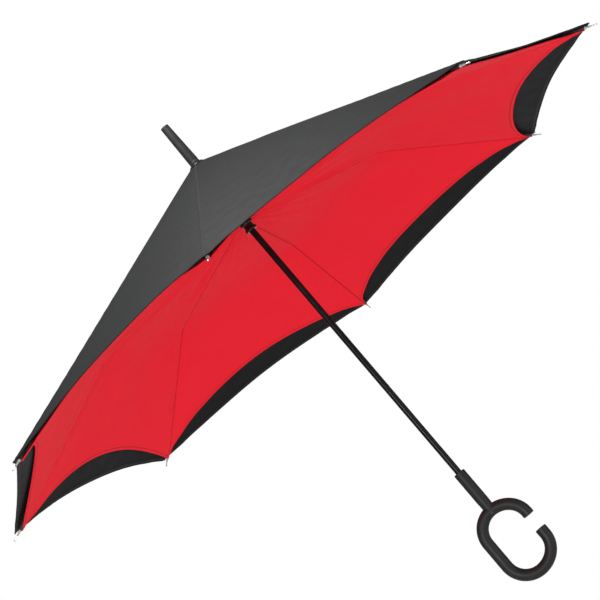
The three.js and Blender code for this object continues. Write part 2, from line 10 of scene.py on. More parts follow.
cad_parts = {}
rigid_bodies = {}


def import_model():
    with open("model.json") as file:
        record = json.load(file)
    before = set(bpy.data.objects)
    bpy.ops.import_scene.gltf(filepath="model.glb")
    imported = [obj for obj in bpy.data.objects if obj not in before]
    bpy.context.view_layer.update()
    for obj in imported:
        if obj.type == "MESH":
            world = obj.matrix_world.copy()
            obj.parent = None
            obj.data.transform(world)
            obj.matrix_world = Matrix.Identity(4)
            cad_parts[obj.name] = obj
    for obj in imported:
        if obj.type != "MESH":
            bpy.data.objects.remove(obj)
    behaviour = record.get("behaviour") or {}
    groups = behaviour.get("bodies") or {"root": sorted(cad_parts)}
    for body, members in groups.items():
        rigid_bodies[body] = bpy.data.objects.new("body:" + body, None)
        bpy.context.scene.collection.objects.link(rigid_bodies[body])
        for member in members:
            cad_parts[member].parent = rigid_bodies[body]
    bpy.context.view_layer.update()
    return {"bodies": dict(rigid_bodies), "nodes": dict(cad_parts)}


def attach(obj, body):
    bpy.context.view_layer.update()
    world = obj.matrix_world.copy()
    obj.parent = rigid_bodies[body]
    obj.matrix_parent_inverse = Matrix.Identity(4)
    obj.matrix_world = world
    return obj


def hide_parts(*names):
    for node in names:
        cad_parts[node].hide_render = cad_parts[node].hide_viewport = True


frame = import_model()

# ---- sizes, in millimetres, as the CAD has them ----
MM = 0.001
RIM_Z = 455.0
CROWN_HEIGHT = 213.5
CORNER_RADIUS = 525.0
RIB_COUNT = 8
RIB_PHASE = -6.6
WEDGE = 2 * math.pi / RIB_COUNT
HALF_WEDGE = WEDGE / 2
RIB_SIDE = -2.4
CLAMP_RADIUS = 14.0
OUTER_SLOPE = CROWN_HEIGHT / (CORNER_RADIUS - CLAMP_RADIUS)
RIB_DEPTH = 4.9
RIB_PIVOT = (12.0, 573.0)
BEND_RADIUS = 272.0
SHAFT_RADIUS = 4.5
SHAFT_BOTTOM = 64.0
SHAFT_TOP = 714.5
CORNER_PHASE = math.radians(RIB_PHASE) + math.asin(RIB_SIDE / CORNER_RADIUS)
GRIP_RADIUS = 8.25
GRIP_GAP_TOP = 14.2
GRIP_GAP_BOTTOM = -8.4
SLEEVE_RADIUS = 8.3
SLEEVE_TOP = 117.0
RUNNER_BOTTOM = 550.5
RUNNER_TOP = 579.0
BORE_RADIUS = 4.8
OUTER_BODY = "stem"
INNER_BODY = "slider"


def ridge_height(radius):
    """Height of the outer canopy's ridge above its corners."""
    return CROWN_HEIGHT - OUTER_SLOPE * (radius - CLAMP_RADIUS)


BEND_HEIGHT = ridge_height(BEND_RADIUS) - RIB_DEPTH
INNER_ANGLE = math.atan2(RIB_PIVOT[1] - RIM_Z - BEND_HEIGHT, BEND_RADIUS - RIB_PIVOT[0])
OUTER_ANGLE = math.atan(OUTER_SLOPE)


# ---- materials ----
def new_material(name, color, roughness, metallic=0.0, **sockets):
    material = bpy.data.materials.new(name)
    material.use_nodes = True
    shader = material.node_tree.nodes["Principled BSDF"]
    shader.inputs["Base Color"].default_value = (*color, 1)
    shader.inputs["Roughness"].default_value = roughness
    shader.inputs["Metallic"].default_value = metallic
    for key, value in sockets.items():
        shader.inputs[key.replace("_", " ")].default_value = value
    material.diffuse_color = (*color, 1)
    return material, material.node_tree, shader


def add_node(tree, kind, inputs=None, **settings):
    node = tree.nodes.new(kind)
    for key, value in settings.items():
        setattr(node, key, value)
    for key, value in (inputs or {}).items():
        if isinstance(value, bpy.types.NodeSocket):
            tree.links.new(value, node.inputs[key])
        else:
            node.inputs[key].default_value = value
    return node


def math_node(tree, operation, first, second=0.0):
    node = tree.nodes.new("ShaderNodeMath")
    node.operation = operation
    for socket, value in zip(node.inputs, (first, second)):
        if isinstance(value, bpy.types.NodeSocket):
            tree.links.new(value, socket)
        else:
            socket.default_value = value
    return node.outputs[0]


def noise(tree, place, scale, detail=3.0, roughness=0.55):
    inputs = {"Vector": place, "Scale": scale, "Detail": detail, "Roughness": roughness}
    return add_node(tree, "ShaderNodeTexNoise", inputs).outputs["Fac"]


def remap(tree, value, low, high, from_low=0.3, from_high=0.7):
    inputs = {"Value": value, "From Min": from_low, "From Max": from_high, "To Min": low, "To Max": high}
    return add_node(tree, "ShaderNodeMapRange", inputs).outputs["Result"]


def mix_colors(tree, factor, first, second):
    node = tree.nodes.new("ShaderNodeMix")
    node.data_type = "RGBA"
    tree.links.new(factor, node.inputs["Factor"])
    node.inputs["A"].default_value = (*first, 1)
    node.inputs["B"].default_value = (*second, 1)
    return node.outputs["Result"]


def bump(tree, height, distance, strength=1.0, after=None):
    inputs = {"Height": height, "Distance": distance, "Strength": strength}
    if after is not None:
        inputs["Normal"] = after
    return add_node(tree, "ShaderNodeBump", inputs).outputs["Normal"]


def hard_material(name, color, roughness, metallic=0.0, grain=1500.0, depth=0.00004, wear=0.06, **sockets):
    """Plastic or metal: fine grain, slightly uneven gloss, and tone that varies a little."""
    material, tree, shader = new_material(name, color, roughness, metallic, **sockets)
    place = add_node(tree, "ShaderNodeTexCoord").outputs["Object"]
    patches = noise(tree, place, 60.0)
    fine = noise(tree, place, grain, 2.0)
    lighter = tuple(c * 1.25 + 0.004 for c in color)
    darker = tuple(c * 0.85 for c in color)
    tree.links.new(mix_colors(tree, patches, darker, lighter), shader.inputs["Base Color"])
    tree.links.new(remap(tree, patches, roughness - wear, roughness + wear), shader.inputs["Roughness"])
    tree.links.new(bump(tree, fine, depth, 0.5), shader.inputs["Normal"])
    return material


THREAD_PITCH = 0.0007
PUCKER_PITCH = 0.0036
PUCKER_REACH = 0.007
# distances in metres from a seam or stitch line over which the painted light along it fades out
PAINTED_SEAM_LINE = (0.0003, 0.0014)


def fabric_material(name, color, roughness, sheen, tint, seam_painted_light):
    """Plain-woven polyester: threads, slubs, small crumples, and puckers along the seams and hems, with painted
    light along the seam and stitch lines.
    """
    material, tree, shader = new_material(
        name, color, roughness, 0.0, Sheen_Weight=sheen, Sheen_Roughness=0.4, Specular_IOR_Level=0.1)
    shader.inputs["Sheen Tint"].default_value = (*tint, 1)
    uv = add_node(tree, "ShaderNodeUVMap", uv_map="Cloth").outputs["UV"]
    seam = add_node(tree, "ShaderNodeUVMap", uv_map="Seam").outputs["UV"]
    parts = add_node(tree, "ShaderNodeSeparateXYZ", {"Vector": uv})
    edge = add_node(tree, "ShaderNodeSeparateXYZ", {"Vector": seam})
    thread = 2 * math.pi / THREAD_PITCH
    across = math_node(tree, "SINE", math_node(tree, "MULTIPLY", parts.outputs["X"], thread))
    along = math_node(tree, "SINE", math_node(tree, "MULTIPLY", parts.outputs["Y"], thread))
    weave = math_node(tree, "MULTIPLY", across, along)
    # slubs are long along one thread, so the noise is stretched
    stretched = add_node(tree, "ShaderNodeMapping", {"Vector": uv, "Scale": (900.0, 60.0, 1.0)})
    slub = noise(tree, stretched.outputs["Vector"], 1.0, 2.0)
    crumple = noise(tree, uv, 45.0, 4.0, 0.6)
    tone = noise(tree, uv, 9.0, 3.0)
    # puckers: ripples across a seam that die away within a few millimetres
    ripple = math_node(tree, "SINE", math_node(tree, "MULTIPLY", edge.outputs["Y"], 2 * math.pi / PUCKER_PITCH))
    fade = remap(tree, edge.outputs["X"], 1.0, 0.0, 0.0, PUCKER_REACH)
    pucker = math_node(tree, "MULTIPLY", ripple, fade)
    normal = bump(tree, weave, 0.00005, 0.35)
    normal = bump(tree, slub, 0.0001, 0.25, normal)
    normal = bump(tree, crumple, 0.0012, 0.35, normal)
    normal = bump(tree, pucker, 0.00025, 0.5, normal)
    tree.links.new(normal, shader.inputs["Normal"])
    mixed = math_node(tree, "MULTIPLY", math_node(tree, "ADD", tone, slub), 0.5)
    lighter = tuple(min(c * 1.1, 1) for c in color)
    darker = tuple(c * 0.9 for c in color)
    plain = mix_colors(tree, mixed, darker, lighter)
    # painted light along a seam or a line of stitches: painted shade on the red cloth, a painted highlight on
    # the black cloth
    painted_seam_mask = remap(tree, edge.outputs["X"], 1.0, 0.0, *PAINTED_SEAM_LINE)
    painted_seam_mix = add_node(tree, "ShaderNodeMix", data_type="RGBA")
    tree.links.new(painted_seam_mask, painted_seam_mix.inputs["Factor"])
    tree.links.new(plain, painted_seam_mix.inputs["A"])
    painted_seam_mix.inputs["B"].default_value = (*(c * seam_painted_light for c in color), 1)
    tree.links.new(painted_seam_mix.outputs["Result"], shader.inputs["Base Color"])
    tree.links.new(remap(tree, crumple, roughness - 0.05, roughness + 0.05), shader.inputs["Roughness"])
    return material


# last numbers: 2.2 paints a highlight along the black cloth's seams and stitches, 0.62 paints shade along the
# red cloth's
BLACK_CLOTH = fabric_material("black_cloth", (0.0095, 0.0095, 0.0098), 0.7, 0.02, (0.9, 0.95, 1.0), 2.2)
RED_CLOTH = fabric_material("red_cloth", (0.9, 0.0135, 0.03), 0.75, 0.03, (1.0, 0.6, 0.6), 0.62)
BLACK_THREAD = hard_material("black_thread", (0.022, 0.022, 0.023), 0.6, grain=4000.0)
RED_THREAD = hard_material("red_thread", (0.2, 0.004, 0.008), 0.7, grain=4000.0)
SHAFT_PAINT = hard_material(
    "shaft_paint", (0.004, 0.004, 0.0045), 0.26, grain=900.0, depth=0.00001, wear=0.05, Coat_Weight=0.04,
    Coat_Roughness=0.1, Specular_IOR_Level=0.12)
SOFT_GRIP = hard_material(
    "soft_grip", (0.013, 0.0133, 0.0136), 0.46, grain=2600.0, depth=0.00006, wear=0.07,
    Specular_IOR_Level=0.25)
GLOSS_BLACK = hard_material(
    "gloss_black", (0.004, 0.004, 0.0045), 0.1, grain=800.0, depth=0.000005, wear=0.03, Coat_Weight=0.25,
    Coat_Roughness=0.03, Specular_IOR_Level=0.3)
MILKY_PLASTIC = hard_material(
    "milky_plastic", (0.4, 0.41, 0.4), 0.3, grain=1200.0, depth=0.00002, Subsurface_Weight=0.35,
    Subsurface_Scale=0.002)
PLATED_STEEL = hard_material("plated_steel", (0.62, 0.63, 0.65), 0.24, 1.0, grain=1800.0, depth=0.00001)
PAINTED_STEEL = hard_material("painted_steel", (0.012, 0.012, 0.013), 0.3, 0.2, grain=1200.0, depth=0.00002)
GLASS_FIBRE = hard_material("glass_fibre", (0.016, 0.016, 0.018), 0.4, grain=2200.0, depth=0.00003)


# ---- mesh helpers ----
def add_piece(name, points, faces, material, body, slot, replaces=(), sharp=40):
    mesh = bpy.data.meshes.new(name)
    mesh.from_pydata((np.asarray(points, float) * MM).tolist(), [], faces)
    mesh.materials.append(material)
    piece = bpy.data.objects.new(name, mesh)
    bpy.context.scene.collection.objects.link(piece)
    cleaned = bmesh.new()
    cleaned.from_mesh(mesh)
    bmesh.ops.recalc_face_normals(cleaned, faces=cleaned.faces)
    cleaned.to_mesh(mesh)
    cleaned.free()
    mesh.shade_smooth()
    mesh.set_sharp_from_angle(angle=math.radians(sharp))
    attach(piece, body)
    if replaces:
        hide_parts(*replaces)
    return piece


def rounded(outline, steps=5):
    """Points (a, b) or (a, b, fillet): each corner with a fillet becomes an arc-like run of points."""
    result = []
    for i, corner in enumerate(outline):
        fillet = corner[2] if len(corner) > 2 else 0
        here = np.array(corner[:2], float)
        if not fillet or i in (0, len(outline) - 1):
            result.append(tuple(here))
            continue
        back = np.array(outline[i - 1][:2], float) - here
        ahead = np.array(outline[i + 1][:2], float) - here
        start = here + back / np.linalg.norm(back) * min(fillet, np.linalg.norm(back) * 0.49)
        end = here + ahead / np.linalg.norm(ahead) * min(fillet, np.linalg.norm(ahead) * 0.49)
        for k in range(steps + 1):
            t = k / steps
            result.append(tuple((1 - t) ** 2 * start + 2 * t * (1 - t) * here + t ** 2 * end))
    return result


def turned(outline, sides=64, closed=False):
    """Revolves (radius, height) points round Z. Points on the axis become poles."""
    points, rows, faces = [], [], []
    for radius, height in outline:
        if radius < 1e-6:
            rows.append([len(points)])
            points.append((0, 0, height))
            continue
        row = []
        for k in range(sides):
            angle = 2 * math.pi * k / sides
            row.append(len(points))
            points.append((radius * math.cos(angle), radius * math.sin(angle), height))
        rows.append(row)
    pairs = list(zip(rows, rows[1:]))
    if closed:
        pairs.append((rows[-1], rows[0]))
    for low, high in pairs:
        for k in range(sides):
            after = (k + 1) % sides
            if len(low) == 1 and len(high) == 1:
                continue
            if len(low) == 1:
                faces.append((low[0], high[after], high[k]))
            elif len(high) == 1:
                faces.append((low[k], low[after], high[0]))
            else:
                faces.append((low[k], low[after], high[after], high[k]))
    return points, faces


def tube(path, radii, sides=32, side_on=(0, 1, 0)):
    """A round tube along a path, with a radius at each point and closed ends."""
    path = np.asarray(path, float)
    radii = np.broadcast_to(radii, len(path))
    ahead = np.gradient(path, axis=0)
    ahead /= np.linalg.norm(ahead, axis=1)[:, None]
    points, faces = [], []
    up = np.asarray(side_on, float)
    for centre, direction, radius in zip(path, ahead, radii):
        up = up - direction * (up @ direction)
        up /= np.linalg.norm(up)
        other = np.cross(direction, up)
        for k in range(sides):
            angle = 2 * math.pi * k / sides
            points.append(centre + radius * (math.cos(angle) * up + math.sin(angle) * other))
    for i in range(len(path) - 1):
        for k in range(sides):
            a, b = i * sides + k, i * sides + (k + 1) % sides
            faces.append((a, b, b + sides, a + sides))
    faces.append(tuple(range(sides))[::-1])
    faces.append(tuple(range((len(path) - 1) * sides, len(path) * sides)))
    return points, faces


def joined(*parts):
    points, faces = [], []
    for some_points, some_faces in parts:
        start = len(points)
        points += [tuple(p) for p in some_points]
        faces += [tuple(i + start for i in face) for face in some_faces]
    return points, faces


def moved(part, matrix):
    points, faces = part
    return [tuple(matrix @ Vector(p)) for p in points], faces


# ---- camera ----
CAMERA_SPOT = (-0.0120, -3.5433, -0.1905)
CAMERA_RISE = math.radians(10.006)
CAMERA_ROLL = math.radians(40.422)


def make_camera():
    data = bpy.data.cameras.new("camera")
    data.sensor_width = 36.0
    data.lens = 159.33
    data.clip_end = 50.0
    camera = bpy.data.objects.new("camera", data)
    bpy.context.scene.collection.objects.link(camera)
    level_right = Vector((1, 0, 0))
    level_up = Vector((0, -math.sin(CAMERA_RISE), math.cos(CAMERA_RISE)))
    right = math.cos(CAMERA_ROLL) * level_right - math.sin(CAMERA_ROLL) * level_up
    up = math.sin(CAMERA_ROLL) * level_right + math.cos(CAMERA_ROLL) * level_up
    turn = Matrix((right, up, right.cross(up))).transposed().to_4x4()
    camera.matrix_world = Matrix.Translation(CAMERA_SPOT) @ turn
    bpy.context.scene.camera = camera


# ---- studio ----
FLOOR_Z = -0.36
FLOOR_REACH = 9.0
FLOOR_GLOW = 0.5
FILL = 0.25
SHAFT_MIDDLE = (0, 0, 0.5)
CROWN_SPOT = (-0.04, -0.1, 0.6)


def add_light(name, spot, target, size, power):
    data = bpy.data.lights.new(name, "AREA")
    data.shape = "RECTANGLE"
    data.size, data.size_y = size
    data.energy = power
    light = bpy.data.objects.new(name, data)
    bpy.context.scene.collection.objects.link(light)
    light.location = spot
    light.rotation_euler = (Vector(target) - Vector(spot)).to_track_quat("-Z", "Y").to_euler()


def make_studio():
    world = bpy.data.worlds.new("studio")
    bpy.context.scene.world = world
    bpy.context.scene.view_settings.view_transform = "Standard"
    world.use_nodes = True
    tree = world.node_tree
    tree.nodes.clear()
    rays = add_node(tree, "ShaderNodeLightPath")
    seen = add_node(tree, "ShaderNodeBackground", {"Color": (1, 1, 1, 1), "Strength": 1.0})
    fill = add_node(tree, "ShaderNodeBackground", {"Color": (0.97, 0.985, 1, 1), "Strength": FILL})
    both = add_node(tree, "ShaderNodeMixShader", {0: rays.outputs["Is Camera Ray"]})
    tree.links.new(fill.outputs[0], both.inputs[1])
    tree.links.new(seen.outputs[0], both.inputs[2])
    add_node(tree, "ShaderNodeOutputWorld", {"Surface": both.outputs[0]})
    add_light("front", (-0.9, -2.7, 0.0), SHAFT_MIDDLE, (1.6, 1.2), 44)
    add_light("side", (2.4, -1.6, 0.1), SHAFT_MIDDLE, (1.2, 1.2), 15)
    add_light("crown", (0.04, -0.3, 1.16), CROWN_SPOT, (0.35, 0.35), 11)
    add_light("sparkle", (-1.1, -2.2, 0.5), SHAFT_MIDDLE, (0.16, 0.16), 6)


def make_floor():
    material, tree, shader = new_material("studio_floor", (0.43, 0.43, 0.43), 0.85)
    place = add_node(tree, "ShaderNodeTexCoord").outputs["Object"]
    shade = noise(tree, place, 3.0)
    tone = mix_colors(tree, shade, (0.42, 0.42, 0.42), (0.44, 0.44, 0.44))
    tree.links.new(tone, shader.inputs["Base Color"])
    shader.inputs["Emission Color"].default_value = (1, 1, 1, 1)
    shader.inputs["Emission Strength"].default_value = FLOOR_GLOW
    mesh = bpy.data.meshes.new("floor")
    far = FLOOR_REACH
    mesh.from_pydata([(-far, -far, 0), (far, -far, 0), (far, far, 0), (-far, far, 0)], [], [(0, 1, 2, 3)])
    mesh.materials.append(material)
    floor = bpy.data.objects.new("floor", mesh)
    bpy.context.scene.collection.objects.link(floor)
    floor.location.z = FLOOR_Z


# ---- shaft, handle and top fittings ----
def make_shaft():
    outline = [(SHAFT_RADIUS - 0.6, SHAFT_BOTTOM), (SHAFT_RADIUS, SHAFT_BOTTOM), (SHAFT_RADIUS, SHAFT_TOP),
               (SHAFT_RADIUS - 0.6, SHAFT_TOP)]
    points, faces = turned(outline, 48, closed=True)
    add_piece("shaft_tube", points, faces, SHAFT_PAINT, "stem", "black_metal", ["shaft"])


GRIP_HALF_STRAIGHT = 19.0
GRIP_DEPTH = 32.0
GRIP_OPEN_SIDE = 34.7
ARC_STEPS = 24
SLEEVE_BOTTOM = GRIP_HALF_STRAIGHT + GRIP_DEPTH - 6


def grip_path():
    """Centreline of the C ring, from the lower arm's end round to the upper one."""
    half = GRIP_HALF_STRAIGHT
    deep = GRIP_DEPTH
    wide = GRIP_OPEN_SIDE
    path = [(wide, GRIP_GAP_BOTTOM), (wide, GRIP_GAP_BOTTOM - 5)]
    for k in range(ARC_STEPS + 1):
        angle = -math.radians(90 * k / ARC_STEPS)
        path.append((wide * math.cos(angle), -half + deep * math.sin(angle)))
    for k in range(1, ARC_STEPS + 1):
        angle = -math.radians(90 + 90 * k / ARC_STEPS)
        path.append((deep * math.cos(angle), -half + deep * math.sin(angle)))
    for k in range(1, 12):
        path.append((-deep, -half + 2 * half * k / 12))
    for k in range(ARC_STEPS + 1):
        angle = math.radians(180 - 90 * k / ARC_STEPS)
        path.append((deep * math.cos(angle), half + deep * math.sin(angle)))
    for k in range(1, ARC_STEPS + 1):
        angle = math.radians(90 - 90 * k / ARC_STEPS)
        path.append((wide * math.cos(angle), half + deep * math.sin(angle)))
    path.append((wide, GRIP_GAP_TOP))
    return np.array([(x, 0, z) for x, z in path])


def with_round_ends(path, radius, fillet=1.3, steps=4):
    """Path and radii of a tube whose flat ends have rounded edges."""
    radii = [radius] * len(path)
    path = list(path)
    for at_end in (True, False):
        tip, inward = (path[-1], path[-2]) if at_end else (path[0], path[1])
        back = (inward - tip) / np.linalg.norm(inward - tip)
        extra, sizes = [], []
        for k in range(steps + 1):
            angle = math.pi / 2 * k / steps
            extra.append(tip + back * fillet * (1 - math.sin(angle)))
            sizes.append(radius - fillet * (1 - math.cos(angle)))
        if at_end:
            path = path[:-1] + extra
            radii = radii[:-1] + sizes
        else:
            path = extra[::-1] + path[1:]
            radii = sizes[::-1] + radii[1:]
    return np.array(path), np.array(radii)


def make_handle():
    path, radii = with_round_ends(grip_path(), GRIP_RADIUS)
    ring_points, ring_faces = tube(path, radii, 48)
    add_piece("handle_grip", ring_points, ring_faces, SOFT_GRIP, "stem", "grip", ["handle"])
    narrow = SLEEVE_RADIUS - 0.3
    outline = rounded([
        (0, SLEEVE_BOTTOM), (narrow, SLEEVE_BOTTOM, 1.5), (narrow, SLEEVE_BOTTOM + 14),
        (SLEEVE_RADIUS, 70), (SLEEVE_RADIUS, SLEEVE_TOP, 1.4), (SHAFT_RADIUS + 0.5, SLEEVE_TOP, 0.4),
        (SHAFT_RADIUS + 0.4, SLEEVE_TOP - 3), (0, SLEEVE_TOP - 3)])
    points, faces = turned(outline, 64)
    add_piece("handle_sleeve", points, faces, SOFT_GRIP, "stem", "grip")


FERRULE_BOTTOM = 673.1
FERRULE_TOP = 741.5
WASHER_BOTTOM = 669.2
WASHER_TOP = 672.8


def make_top_fittings():
    base = FERRULE_BOTTOM
    end = FERRULE_TOP
    outline = rounded([
        (BORE_RADIUS, base), (7.6, base, 0.6), (7.55, base + 3.2, 0.3), (7.15, base + 3.6, 0.3),
        (7.15, base + 4.6, 0.3), (7.5, base + 5.0, 0.3), (6.15, end - 1.5, 1.0), (6.1, end, 1.9), (0, end)])
    # the bore ends just above the shaft
    outline = [(0, SHAFT_TOP + 0.3), (BORE_RADIUS, SHAFT_TOP + 0.3)] + outline
    points, faces = turned(outline, 64)
    add_piece("ferrule_cap", points, faces, SOFT_GRIP, "stem", "moulded_black", ["ferrule"])
    outline = rounded([
        (BORE_RADIUS, WASHER_BOTTOM), (12.3, WASHER_BOTTOM, 0.5), (12.2, WASHER_BOTTOM + 1.2, 0.5),
        (9.6, WASHER_TOP - 0.1, 1.2), (BORE_RADIUS, WASHER_TOP)])
    points, faces = turned(outline, 64, closed=True)
    add_piece("washer_disc", points, faces, GLOSS_BLACK, "stem", "moulded_black", ["canopy_washer"])


# ---- runner ----
RUNNER_BORE = 4.9
RUNNER_NECK = 6.9
RUNNER_RING = 9.0
FLANGE_RADIUS = 14.6
FLANGE_RISE = 2.4
WIRE_GROOVE = 0.9
COLLAR_TOP = 568.6


def make_runner():
    pivot = RIB_PIVOT[1]
    flange_top = pivot + FLANGE_RISE
    floor = pivot - WIRE_GROOVE
    circle = math.hypot(RIB_PIVOT[0], RIB_SIDE)
    outside = circle + WIRE_GROOVE
    inside = circle - WIRE_GROOVE
    outline = rounded([
        (RUNNER_BORE, RUNNER_BOTTOM), (RUNNER_RING, RUNNER_BOTTOM, 1.3), (RUNNER_RING, RUNNER_BOTTOM + 5, 1.3),
        (RUNNER_NECK, RUNNER_BOTTOM + 5.6, 0.8), (RUNNER_NECK, pivot - 3), (FLANGE_RADIUS, pivot - 3, 0.5),
        (FLANGE_RADIUS, flange_top, 0.5), (outside, flange_top), (outside, floor), (inside, floor),
        (inside, flange_top), (RUNNER_NECK, flange_top), (RUNNER_NECK, RUNNER_TOP, 0.5),
        (RUNNER_BORE, RUNNER_TOP)])
    points, faces = turned(outline, 96, closed=True)
    runner = add_piece("runner_sleeve", points, faces, GLOSS_BLACK, "slider", "moulded_black", ["runner"])
    cut_slots(runner)
    make_collar()


def cut_slots(runner):
    """Cuts the slots that the ribs' flat ends stand in."""
    pivot = RIB_PIVOT[1]
    slot = block((9.6, RIB_SIDE - 1.5, pivot - 4), (17, RIB_SIDE + 1.5, pivot + 4))
    slots = []
    for k in range(RIB_COUNT):
        turn = Matrix.Rotation(math.radians(RIB_PHASE) + k * WEDGE, 4, "Z")
        slots.append(moved(slot, turn))
    cutter = add_piece("slot_cutter", *joined(*slots), GLOSS_BLACK, "slider", "moulded_black")
    cut = runner.modifiers.new("slots", "BOOLEAN")
    cut.object = cutter
    cut.operation = "DIFFERENCE"
    cut.solver = "EXACT"
    apply_modifiers(runner)
    bpy.data.objects.remove(cutter)


def make_collar():
    top = COLLAR_TOP
    outline = rounded([
        (7.3, top - 8), (8.4, top - 8, 0.6), (9.5, top - 6.6, 0.8), (9.5, top - 1.8, 0.6), (9.6, top - 1.6, 0.4),
        (9.6, top - 0.2, 0.4), (7.3, top)])
    points, faces = turned(outline, 64, closed=True)
    add_piece("runner_collar", points, faces, GLOSS_BLACK, "slider", "moulded_black", ["runner_cap"])


def block(low, high):
    points = [(x, y, z) for x in (low[0], high[0]) for y in (low[1], high[1]) for z in (low[2], high[2])]
    faces = [(0, 1, 3, 2), (4, 6, 7, 5), (0, 4, 5, 1), (2, 3, 7, 6), (0, 2, 6, 4), (1, 5, 7, 3)]
    return points, faces


def apply_modifiers(piece):
    graph = bpy.context.evaluated_depsgraph_get()
    graph.update()
    mesh = bpy.data.meshes.new_from_object(piece.evaluated_get(graph))
    piece.modifiers.clear()
    piece.data = mesh


# ---- ribs ----
def rib_matrix(number):
    """From the rib's own frame, X along it from its pivot, to the part's."""
    turn = Matrix.Rotation(math.radians(RIB_PHASE) + (number - 1) * WEDGE, 4, "Z")
    pivot = Matrix.Translation((RIB_PIVOT[0], RIB_SIDE, RIB_PIVOT[1]))
    return turn @ pivot @ Matrix.Rotation(INNER_ANGLE, 4, "Y")


JOINT_RADIUS = 246.0
JOINT_ALONG = (JOINT_RADIUS - RIB_PIVOT[0]) / math.cos(INNER_ANGLE)
BEND_ALONG = (BEND_RADIUS - RIB_PIVOT[0]) / math.cos(INNER_ANGLE)
BEND_ANGLE = OUTER_ANGLE - INNER_ANGLE
BEND_REACH = 14.0
ROD_RADIUS = 1.4
ROD_OVERLAP = 13.0      # of the rod inside its steel channel, back from the joint
ROD_IN_TIP = 12.7
TIP_PAST_CORNER = 7.0
TIP_LENGTH = 34.0
TIP_END = (CORNER_RADIUS + TIP_PAST_CORNER - BEND_RADIUS) / math.cos(OUTER_ANGLE)
TIP_START = TIP_END - TIP_LENGTH


def past_bend(length):
    return np.array([BEND_ALONG + length * math.cos(BEND_ANGLE), 0, -length * math.sin(BEND_ANGLE)])


def rod_part():
    bend_from = np.array([BEND_ALONG - BEND_REACH, 0, 0])
    bend_to = past_bend(BEND_REACH)
    corner = np.array([BEND_ALONG, 0, 0])
    path = [np.array((JOINT_ALONG - ROD_OVERLAP, 0, 0))]
    for k in range(11):
        t = k / 10
        path.append((1 - t) ** 2 * bend_from + 2 * t * (1 - t) * corner + t * t * bend_to)
    path.append(past_bend(TIP_START + ROD_IN_TIP))
    return tube(path, ROD_RADIUS, 16)


def tip_part():
    """Milky plastic tip: a stem in the pocket, a collar against its mouth, and a taper to the pin."""
    outline = rounded([
        (1.6, 1), (2.0, 1, 0.2), (2.0, 15.4), (2.1, 16, 0.3), (2.1, 17.2, 0.4), (1.5, 18.0, 0.4),
        (1.45, 21, 0.8), (1.2, 24.2, 0.6), (0.9, 25), (0, 25)])
    points, faces = turned([(0, 13), (1.6, 13)] + outline, 28)
    return moved((points, faces), tip_matrix())


def pocket_part():
    """Cloth pocket of the canopy's corner, sewn round the tip's stem."""
    outline = rounded([
        (2.05, 0), (2.35, 0, 0.3), (2.7, 2.5, 1.0), (2.55, 6, 0.8), (2.65, 9, 0.8), (2.5, 12.5, 0.8),
        (2.66, 14.6, 0.4), (2.5, 15.5, 0.3), (2.05, 15.6)])
    points, faces = turned(outline, 24, closed=True)
    return moved((points, faces), tip_matrix())


def pin_part():
    outline = rounded([
        (0, 22), (0.85, 22), (0.85, 31.6, 0.3), (1.1, 32.2, 0.4), (1.1, 33.4, 0.4), (0.8, 34, 0.3), (0, 34)])
    points, faces = turned(outline, 20)
    return moved((points, faces), tip_matrix())


def tip_matrix():
    start = Vector(past_bend(TIP_START))
    return Matrix.Translation(start) @ Matrix.Rotation(math.pi / 2 + BEND_ANGLE, 4, "Y")


def make_ribs():
    kinds = (
        ("rod", rod_part(), GLASS_FIBRE, "glass_fibre", "rib_rod"),
        ("tip", tip_part(), MILKY_PLASTIC, "tip_plastic", "rib_tip"),
        ("tip_pin", pin_part(), PLATED_STEEL, "steel", None),
        ("corner_pocket", pocket_part(), BLACK_THREAD, "outer_fabric", None))
    for number in range(1, RIB_COUNT + 1):
        place = rib_matrix(number)
        for name, part, material, slot, node in kinds:
            replaced = [f"{node}_{number}"] if node else []
            add_piece(f"{name}_{number}", *moved(part, place), material, f"rib_{number}", slot, replaced)


# ---- hardware that keeps its CAD shape ----
def finish_node(name, material, bevel=0.0):
    node = frame["nodes"][name]
    node.data.materials.clear()
    node.data.materials.append(material)
    if bevel:
        soften = node.modifiers.new("edges", "BEVEL")
        soften.width = bevel * MM
        soften.segments = 2
        soften.limit_method = "ANGLE"
        soften.angle_limit = math.radians(50)


def finish_hardware():
    for name in ("runner_wire", "crown_wire", "crown_pin", "stop_pin", "top_catch"):
        finish_node(name, PLATED_STEEL)
    finish_node("crown_notch", GLOSS_BLACK)
    for number in range(1, RIB_COUNT + 1):
        finish_node(f"rib_channel_{number}", PAINTED_STEEL, 0.15)
        finish_node(f"strut_{number}", PAINTED_STEEL, 0.25)
        finish_node(f"rib_clamp_{number}", GLOSS_BLACK, 0.25)


